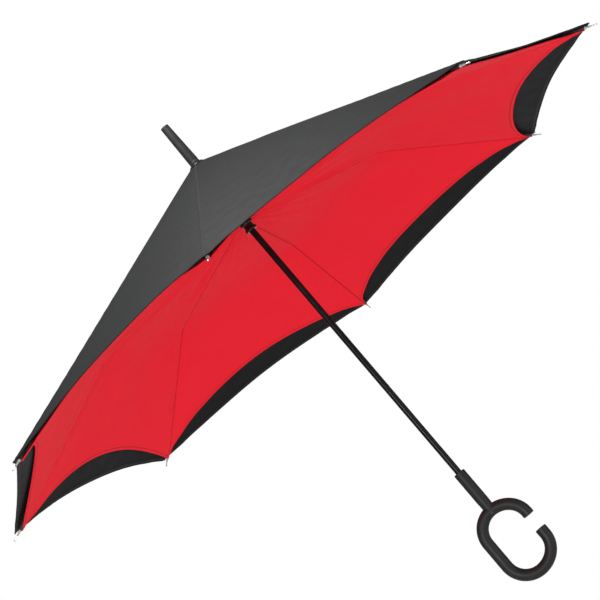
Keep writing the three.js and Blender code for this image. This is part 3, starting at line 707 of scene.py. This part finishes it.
# ---- canopies ----
class Sheet:
    """Shape of one canopy: a ridge over each rib, panels between them, and a hem that curves in."""

    def __init__(self, bend, slopes, middle, corner, sag, power, lift, skew, belly, slack, side,
                 under=None):
        self.bend = bend                # radius of the ridge's bend, or None
        self.slopes = slopes            # height lost per radius before and after the bend
        self.middle = middle            # (hole radius, flat radius, height of the flat)
        self.corner = corner            # radius of the corners
        # these four are (mean, variation, azimuth in degrees of the largest)
        self.sag = sag                  # how far the hem curves in between two corners
        self.power = power              # below 1 the hem's middle is flatter than an arc
        self.lift = lift                # rise of the hem's middle above the flat panel
        self.skew = skew                # where along the hem the deepest point lies
        self.belly = belly              # rise of the panel's middle between hub and hem
        self.slack = slack              # depth of its folds
        self.side = side                # +1 where the side that shows is above
        self.under = under              # the sheet that this one stays under

    def ridge(self, radius, soften=4.0):
        _, flat, height = self.middle
        fall = self.slopes[0] * np.maximum(radius - flat, 0)
        if self.bend:
            steps = (radius - self.bend) / soften
            fall = fall + (self.slopes[1] - self.slopes[0]) * soften * np.logaddexp(0, steps)
        return height - fall

    def varied(self, values, panel):
        mean, variation, largest = values
        azimuth = math.degrees(CORNER_PHASE) + (panel + 0.5) * 45
        return mean + variation * math.cos(math.radians(azimuth - largest))

    def point(self, share, out, panel):
        """Spots of a panel as (along, across, height).

        share runs 0 to 1 across the panel, and out 0 to 1 from hub to hem.
        """
        hole = self.middle[0]
        skew = self.varied(self.skew, panel)
        bent = share ** skew if skew >= 1 else 1 - (1 - share) ** (1 / skew)
        arch = np.clip(4 * bent * (1 - bent), 0, 1)
        radius = hole + (self.corner - hole) * out
        flatness = smooth_step(radius, self.middle[1], 3 * CLAMP_RADIUS)
        angle = (share - 0.5) * WEDGE
        flat_along = radius * math.cos(HALF_WEDGE)
        flat_across = (2 * share - 1) * radius * math.sin(HALF_WEDGE)
        pull = self.varied(self.sag, panel) * arch ** self.varied(self.power, panel) * out ** 2.2
        narrower = 1 - pull / flat_along
        along = flatness * (flat_along - pull) + (1 - flatness) * radius * np.cos(angle)
        across = flatness * flat_across * narrower + (1 - flatness) * radius * np.sin(angle)
        facet = np.where(flatness > 0, along / math.cos(HALF_WEDGE), radius)
        on_ridge = self.ridge(radius)
        off_ridge = self.ridge(facet, 4.0 + 20.0 * arch)
        height = on_ridge * (1 - flatness) + off_ridge * flatness
        height = height + self.varied(self.lift, panel) * arch * out ** 3
        height = height + self.belly * arch * np.sin(math.pi * out) * flatness
        if self.under is not None:
            room = self.under.height_at(along, share, panel) - UNDER_GAP
            height = np.where(radius > 3 * CLAMP_RADIUS, soft_minimum(height, room), height)
        return along, across, height

    def height_at(self, along, share, panel):
        """Height over a spot of a panel, found by narrowing down how far out it is."""
        out = along / math.cos(HALF_WEDGE) / self.corner
        for _ in range(4):
            reached = self.point(share, out, panel)[0]
            out = out + (along - reached) / self.corner
        return self.point(share, np.minimum(out, 1.05), panel)[2]


def smooth_step(value, low, high):
    t = np.clip((value - low) / (high - low), 0, 1)
    return t * t * (3 - 2 * t)


def soft_minimum(first, second, soft=1.5):
    return -soft * np.logaddexp(-first / soft, -second / soft)


HEM = 9.0               # width of the hem
UNDER_GAP = 3.5         # least room between the canopies' middle surfaces
STITCH_INSET = 4.6      # from the edge to the line of stitches
# rows of points at these distances from the edge
HEM_ROWS = (
    HEM + 5.5, HEM + 2.0, HEM + 0.4, HEM - 0.4, 7.0, 5.9, 5.2, STITCH_INSET, 4.0, 3.3, 2.0, 0.8, 0.0)


def seam_welt(distance):
    """Height of the cloth beside a seam: a fine valley between two soft welts."""
    return -0.55 * np.exp(-(distance / 0.7) ** 2) + 0.35 * np.exp(-((distance - 2.0) / 1.3) ** 2)


def hem_groove(set_in):
    """The line of stitches pulls the hem down a little."""
    return -0.6 * math.exp(-((set_in - STITCH_INSET) / 0.9) ** 2)


def seam_folds(distance, out, side):
    """Soft folds beside a seam, a little apart on its two sides, that fade towards the hem."""
    apart = 11.0 + 3.0 * side + 9.0 * out
    narrow = 2.6 + 1.5 * out
    fade = np.clip(out * 5 - 0.4, 0, 1) * np.clip(1.25 - out, 0, 1)
    return 0.9 * np.exp(-((distance - apart) / narrow) ** 2) * fade


def tension(share, out, panel, slack):
    """Small folds that run from the corners, along the seams and out from the hub, in millimetres."""
    arch = 4 * share * (1 - share)
    corner_pull = np.exp(-((1 - out) / 0.16) ** 2) * (1 - arch) ** 2
    folds = np.sin(2 * math.pi * share * 9 + 3 * out) * corner_pull * 0.7
    ripples = np.sin(2 * math.pi * (out * 21 + 0.4 * np.sin(share * 7))) * np.exp(-arch / 0.12) * 0.2
    from_hub = np.exp(-((out - 0.2) / 0.2) ** 2) * np.clip(arch * 3, 0, 1)
    gathers = np.sin(2 * math.pi * (share * (4 + panel % 3) + 0.37 * panel + 0.3 * out)) * from_hub * 0.45
    past_hub = np.clip(out * 2 - 0.3, 0, 1)
    drape = np.sin(math.pi * (share * 3 + 0.9 * panel) + 4 * out) * arch * past_hub * 0.7
    away_from_hem = 1 - out ** 6 * (1 - 1 / slack)
    return folds + ripples * np.clip(out * 4 - 0.4, 0, 1) + slack * away_from_hem * (gathers + drape)


OUTER = Sheet(
    bend=None, slopes=(OUTER_SLOPE, OUTER_SLOPE), middle=(5.1, CLAMP_RADIUS, CROWN_HEIGHT),
    corner=CORNER_RADIUS, sag=(20.5, 3.5, 276), power=(1.0, 0.05, 195), lift=(2.5, 7.0, 197),
    skew=(1.0, 0.1, 196), belly=3.0, slack=1.0, side=1)
INNER_TOP = 114.3
INNER_CORNER = CORNER_RADIUS - 11
INNER_CORNER_HEIGHT = ridge_height(INNER_CORNER) - RIB_DEPTH - 3.5
INNER_BEND_HEIGHT = BEND_HEIGHT - 4.0
INNER_FLAT = 9.6
INNER_SLOPES = (
    (INNER_TOP - INNER_BEND_HEIGHT) / (BEND_RADIUS - INNER_FLAT),
    (INNER_BEND_HEIGHT - INNER_CORNER_HEIGHT) / (INNER_CORNER - BEND_RADIUS))
INNER = Sheet(
    bend=BEND_RADIUS, slopes=INNER_SLOPES, middle=(7.3, INNER_FLAT, INNER_TOP), corner=INNER_CORNER,
    sag=(52.0, 6.0, 90), power=(0.72, 0.32, 235), lift=(8.6, 6.0, 215), skew=(1.05, 0.19, 150),
    belly=2.0, slack=2.8, side=-1, under=OUTER)

SEAM_COLUMNS = (0.0, 0.45, 0.9, 1.5, 2.2, 3.0, 4.2, 6.0, 9.0)
INNER_COLUMNS = 16
BODY_ROWS = 76


def half_columns(radius):
    """Shares across half a panel, with columns at fixed distances from the seam."""
    reach = 2 * radius * math.sin(HALF_WEDGE)
    near = [min(d / reach, 0.2 * i / (len(SEAM_COLUMNS) - 1)) for i, d in enumerate(SEAM_COLUMNS)]
    rest = [near[-1] + (0.5 - near[-1]) * i / INNER_COLUMNS for i in range(1, INNER_COLUMNS + 1)]
    return near + rest


def canopy_grid(sheet, panel):
    """Rows of one panel's middle surface, from hub to hem, each with its seam and hem distances."""
    rows = []
    outs = [(i / BODY_ROWS) ** 0.9 for i in range(BODY_ROWS)]
    for out, set_in in [(out, None) for out in outs] + [(1.0, inset) for inset in HEM_ROWS]:
        radius = sheet.middle[0] + (sheet.corner - sheet.middle[0]) * out
        half = half_columns(max(radius, 1.0))
        share = np.array(half + [1 - s for s in half[-2::-1]])
        along, across, height = sheet.point(share, out, panel)
        inner_along, _, inner_height = sheet.point(share, max(out - 0.02, 0), panel)
        slope = (inner_height - height) / np.maximum(along - inner_along, 1e-3)
        # the last rows run parallel to the edge, and those before them make room for that
        inward = HEM_ROWS[0] * out ** 3 if set_in is None else set_in
        height = height + np.where(out > 0.05, slope * inward, 0)
        scale = 1 - inward / np.maximum(along, 1)
        along, across = along * scale, across * scale
        seam_distance = np.maximum(along, 1) * math.sin(HALF_WEDGE) * (1 - np.abs(2 * share - 1))
        relief = seam_welt(seam_distance) * np.clip((radius - 16) / 20, 0, 1)
        if set_in is not None:
            relief = relief + hem_groove(set_in)
        side = np.where(share < 0.5, 1, -1)
        relief = relief + sheet.slack * seam_folds(seam_distance, out, side)
        height = height + sheet.side * relief + tension(share, out, panel, sheet.slack)
        rows.append((along, across, height, seam_distance, 1e3 if set_in is None else set_in))
    return rows


def hem_thickness(set_in):
    return 1.0 if set_in <= HEM else 0.45


def make_canopy(name, sheet, material, body, slot, node):
    panels = [canopy_grid(sheet, panel) for panel in range(RIB_COUNT)]
    columns = len(panels[0][0][0]) - 1
    count = columns * RIB_COUNT
    middle, thickness = [], []
    for i in range(len(panels[0])):
        for panel, rows in enumerate(panels):
            along, across, height, _, set_in = rows[i]
            turn = CORNER_PHASE + (panel + 0.5) * WEDGE
            c, s = math.cos(turn), math.sin(turn)
            x, y = along[:-1], across[:-1]
            middle.append(np.stack([x * c - y * s, x * s + y * c, RIM_Z + height[:-1]], 1))
            thickness.append(np.full(columns, hem_thickness(set_in)))
    middle = np.concatenate(middle)
    thickness = np.concatenate(thickness)
    last = len(panels[0]) - 1
    normals = grid_normals(middle.reshape(last + 1, count, 3)).reshape(-1, 3)
    half = normals * thickness[:, None] / 2
    points = np.concatenate([middle + half, middle - half])
    under = len(middle)
    faces, places = [], []
    for i in range(last):
        for j in range(count):
            after = (j + 1) % count
            panel, column = divmod(j, columns)
            quad = (i * count + j, (i + 1) * count + j, (i + 1) * count + after, i * count + after)
            corners = ((i, column), (i + 1, column), (i + 1, column + 1), (i, column + 1))
            faces.append(quad)
            places.append((panel, corners))
            # the same quad on the lower side, turned over
            faces.append(tuple(under + quad[n] for n in (0, 3, 2, 1)))
            places.append((panel, tuple(corners[n] for n in (0, 3, 2, 1))))
    for j in range(count):
        after = (j + 1) % count
        panel, column = divmod(j, columns)
        faces.append((j, after, under + after, under + j))
        places.append((panel, ((0, column), (0, column + 1), (0, column + 1), (0, column))))
        rim = last * count
        faces.append((rim + j, under + rim + j, under + rim + after, rim + after))
        places.append((panel, ((last, column), (last, column), (last, column + 1), (last, column + 1))))
    piece = add_piece(name, points, faces, material, body, slot, [node], sharp=70)
    add_cloth_maps(piece, panels, places)
    add_weights(piece, body, sheet)
    return piece


def grid_normals(grid):
    around = np.roll(grid, -1, axis=1) - np.roll(grid, 1, axis=1)
    outward = np.gradient(grid, axis=0)
    normals = np.cross(outward, around)
    return normals / np.maximum(np.linalg.norm(normals, axis=2), 1e-9)[..., None]


def add_cloth_maps(piece, panels, places):
    cloth = piece.data.uv_layers.new(name="Cloth")
    seam = piece.data.uv_layers.new(name="Seam")
    flat_cloth = np.empty((len(piece.data.loops), 2), np.float32)
    flat_seam = np.empty((len(piece.data.loops), 2), np.float32)
    loop = 0
    for panel, corners in places:
        for row, column in corners:
            along, across, _, seam_distance, set_in = panels[panel][row]
            from_hem = min(abs(set_in - STITCH_INSET), 50.0)
            close_to_seam = seam_distance[column] < from_hem
            flat_cloth[loop] = (across[column] * MM, along[column] * MM)
            flat_seam[loop] = (min(seam_distance[column], from_hem) * MM,
                               (along[column] if close_to_seam else across[column]) * MM)
            loop += 1
    cloth.data.foreach_set("uv", flat_cloth.ravel())
    seam.data.foreach_set("uv", flat_seam.ravel())


# ---- cloth that follows the ribs ----
SEWN_WIDTH = 5.0        # of the cloth beside a seam that moves as its rib does


def body_weights(points, outer):
    """Weight of each body at each point. Across a panel the cloth is shared by its two ribs."""
    radius = np.hypot(points[:, 0], points[:, 1])
    turn = (np.arctan2(points[:, 1], points[:, 0]) - CORNER_PHASE) / WEDGE % RIB_COUNT
    panel = np.floor(turn).astype(int) % RIB_COUNT
    angle = (turn - np.floor(turn) - 0.5) * WEDGE
    # share across the straight chord between two ridges
    share = 0.5 + np.tan(angle) / (2 * math.tan(HALF_WEDGE))
    # the cloth beside a seam is sewn to its rib and keeps its shape there
    chord = 2 * radius * np.cos(angle) * math.tan(HALF_WEDGE)
    sewn = np.minimum(SEWN_WIDTH / np.maximum(chord, 1), 0.2)
    share = np.clip((share - sewn) / (1 - 2 * sewn), 0, 1)
    weights = {}

    def add(name, value):
        weights[name] = weights.get(name, 0) + value

    centre = 1 - smooth_step(radius, *((CLAMP_RADIUS, 50) if outer else (12, 24)))
    add("stem" if outer else "slider", centre)
    rest = 1 - centre
    on_rib = smooth_step(radius, 205, 252) if outer else np.ones_like(radius)
    for k in range(RIB_COUNT):
        part = np.where(panel == k, 1 - share, 0) + np.where((panel + 1) % RIB_COUNT == k, share, 0)
        add(f"rib_{k + 1}", rest * on_rib * part)
        if outer:
            add(f"strut_arm_{k + 1}", rest * (1 - on_rib) * part)
    return weights


def make_rig(name, body, names):
    """An armature whose bones stand where the CAD bodies do and move as they do."""
    data = bpy.data.armatures.new(name)
    rig = bpy.data.objects.new(name, data)
    bpy.context.scene.collection.objects.link(rig)
    bpy.context.view_layer.objects.active = rig
    bpy.ops.object.mode_set(mode="EDIT")
    for bone_name in names:
        bone = data.edit_bones.new(bone_name)
        bone.head = (0, 0, 0)
        bone.tail = (0, 0.1, 0)
        bone.roll = 0
    bpy.ops.object.mode_set(mode="OBJECT")
    for bone_name in names:
        follow = rig.pose.bones[bone_name].constraints.new("COPY_TRANSFORMS")
        follow.target = frame["bodies"][bone_name]
    rig.hide_render = True
    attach(rig, body)
    return rig


RIGS = {}


def add_weights(piece, body, sheet):
    outer = sheet is OUTER
    points = np.empty(len(piece.data.vertices) * 3)
    piece.data.vertices.foreach_get("co", points)
    weights = body_weights(points.reshape(-1, 3) / MM, outer)
    if outer not in RIGS:
        RIGS[outer] = make_rig("outer_rig" if outer else "inner_rig", body, list(weights))
    for name, values in weights.items():
        group = piece.vertex_groups.new(name=name)
        for index in np.nonzero(values > 1e-4)[0]:
            group.add([int(index)], float(values[index]), "REPLACE")
    bend = piece.modifiers.new("follow_ribs", "ARMATURE")
    bend.object = RIGS[outer]


# ---- stitches ----
STITCH_LENGTH = 2.7
STITCH_STEP = 3.7
STITCH_WIDTH = 0.34
STITCH_HEIGHT = 0.75
STITCH_SIDES = 6
# (how far along, share of the full thickness)
STITCH_TAPER = ((0, 0.35), (0.12, 0.9), (0.5, 1.0), (0.88, 0.9), (1, 0.35))


def stitch(start, end, normal):
    """A short thread with rounded ends that lies over the cloth, proud on both sides."""
    along = (end - start) / np.linalg.norm(end - start)
    side = np.cross(normal, along)
    points, faces = [], []
    for t, size in STITCH_TAPER:
        centre = start + (end - start) * t
        for k in range(STITCH_SIDES):
            angle = 2 * math.pi * k / STITCH_SIDES
            reach = STITCH_WIDTH * math.cos(angle) * side + STITCH_HEIGHT * math.sin(angle) * normal
            points.append(centre + size * reach)
    last = (len(STITCH_TAPER) - 1) * STITCH_SIDES
    for i in range(0, last, STITCH_SIDES):
        for k in range(STITCH_SIDES):
            a, b = i + k, i + (k + 1) % STITCH_SIDES
            faces.append((a, b, b + STITCH_SIDES, a + STITCH_SIDES))
    faces.append(tuple(range(STITCH_SIDES))[::-1])
    faces.append(tuple(range(last, last + STITCH_SIDES)))
    return points, faces


def along_path(distance, lengths, values):
    """Point or direction at a distance along a path."""
    return np.array([np.interp(distance, lengths, values[:, axis]) for axis in range(3)])


def stitch_line(path, normals):
    """Stitches along a path of points, one after another."""
    lengths = np.concatenate([[0], np.cumsum(np.linalg.norm(np.diff(path, axis=0), axis=1))])
    parts = []
    for i in range(int(lengths[-1] / STITCH_STEP)):
        begin = i * STITCH_STEP + 0.5
        start = along_path(begin, lengths, path)
        end = along_path(begin + STITCH_LENGTH, lengths, path)
        normal = along_path(begin, lengths, normals)
        parts.append(stitch(start, end, normal / np.linalg.norm(normal)))
    return parts


def make_stitches(name, sheet, material, body, slot):
    every = []
    middle_row = BODY_ROWS + HEM_ROWS.index(STITCH_INSET)
    for panel in range(RIB_COUNT):
        before, row, after = canopy_grid(sheet, panel)[middle_row - 1:middle_row + 2]
        path = np.stack([row[0], row[1], RIM_Z + row[2]], 1)
        outward = np.stack([after[i] - before[i] for i in (0, 1, 2)], 1)
        normals = np.cross(outward, np.gradient(path, axis=0))
        normals /= np.linalg.norm(normals, axis=1)[:, None]
        turn = Matrix.Rotation(CORNER_PHASE + (panel + 0.5) * WEDGE, 4, "Z")
        every += [moved(part, turn) for part in stitch_line(path, normals)]
    piece = add_piece(name, *joined(*every), material, body, slot)
    add_weights(piece, body, sheet)
    return piece


def flat_size(sheet):
    """Width of the canopy laid out flat, twice the slant from hub to corner, and its panels' area."""
    area = 0.0
    for panel in range(RIB_COUNT):
        grid = np.stack([np.stack(row[:3], 1) for row in canopy_grid(sheet, panel)])
        first = grid[1:, 1:] - grid[:-1, :-1]
        second = grid[1:, :-1] - grid[:-1, 1:]
        area += np.linalg.norm(np.cross(first, second), axis=2).sum() / 2
    across = 2 * math.hypot(sheet.corner, sheet.middle[2])
    return across * MM, area * MM * MM


def make_canopies():
    for name, sheet, cloth, thread, body, slot, node in (
            ("outer", OUTER, BLACK_CLOTH, BLACK_THREAD, OUTER_BODY, "outer_fabric", "outer_canopy"),
            ("inner", INNER, RED_CLOTH, RED_THREAD, INNER_BODY, "inner_fabric", "inner_canopy")):
        canopy = make_canopy(f"{name}_cloth", sheet, cloth, body, slot, node)
        stitches = make_stitches(f"{name}_hem_stitches", sheet, thread, body, slot)
        size, area = flat_size(sheet)


make_camera()
make_studio()
make_floor()
make_shaft()
make_handle()
make_top_fittings()
make_runner()
make_ribs()
finish_hardware()
make_canopies()
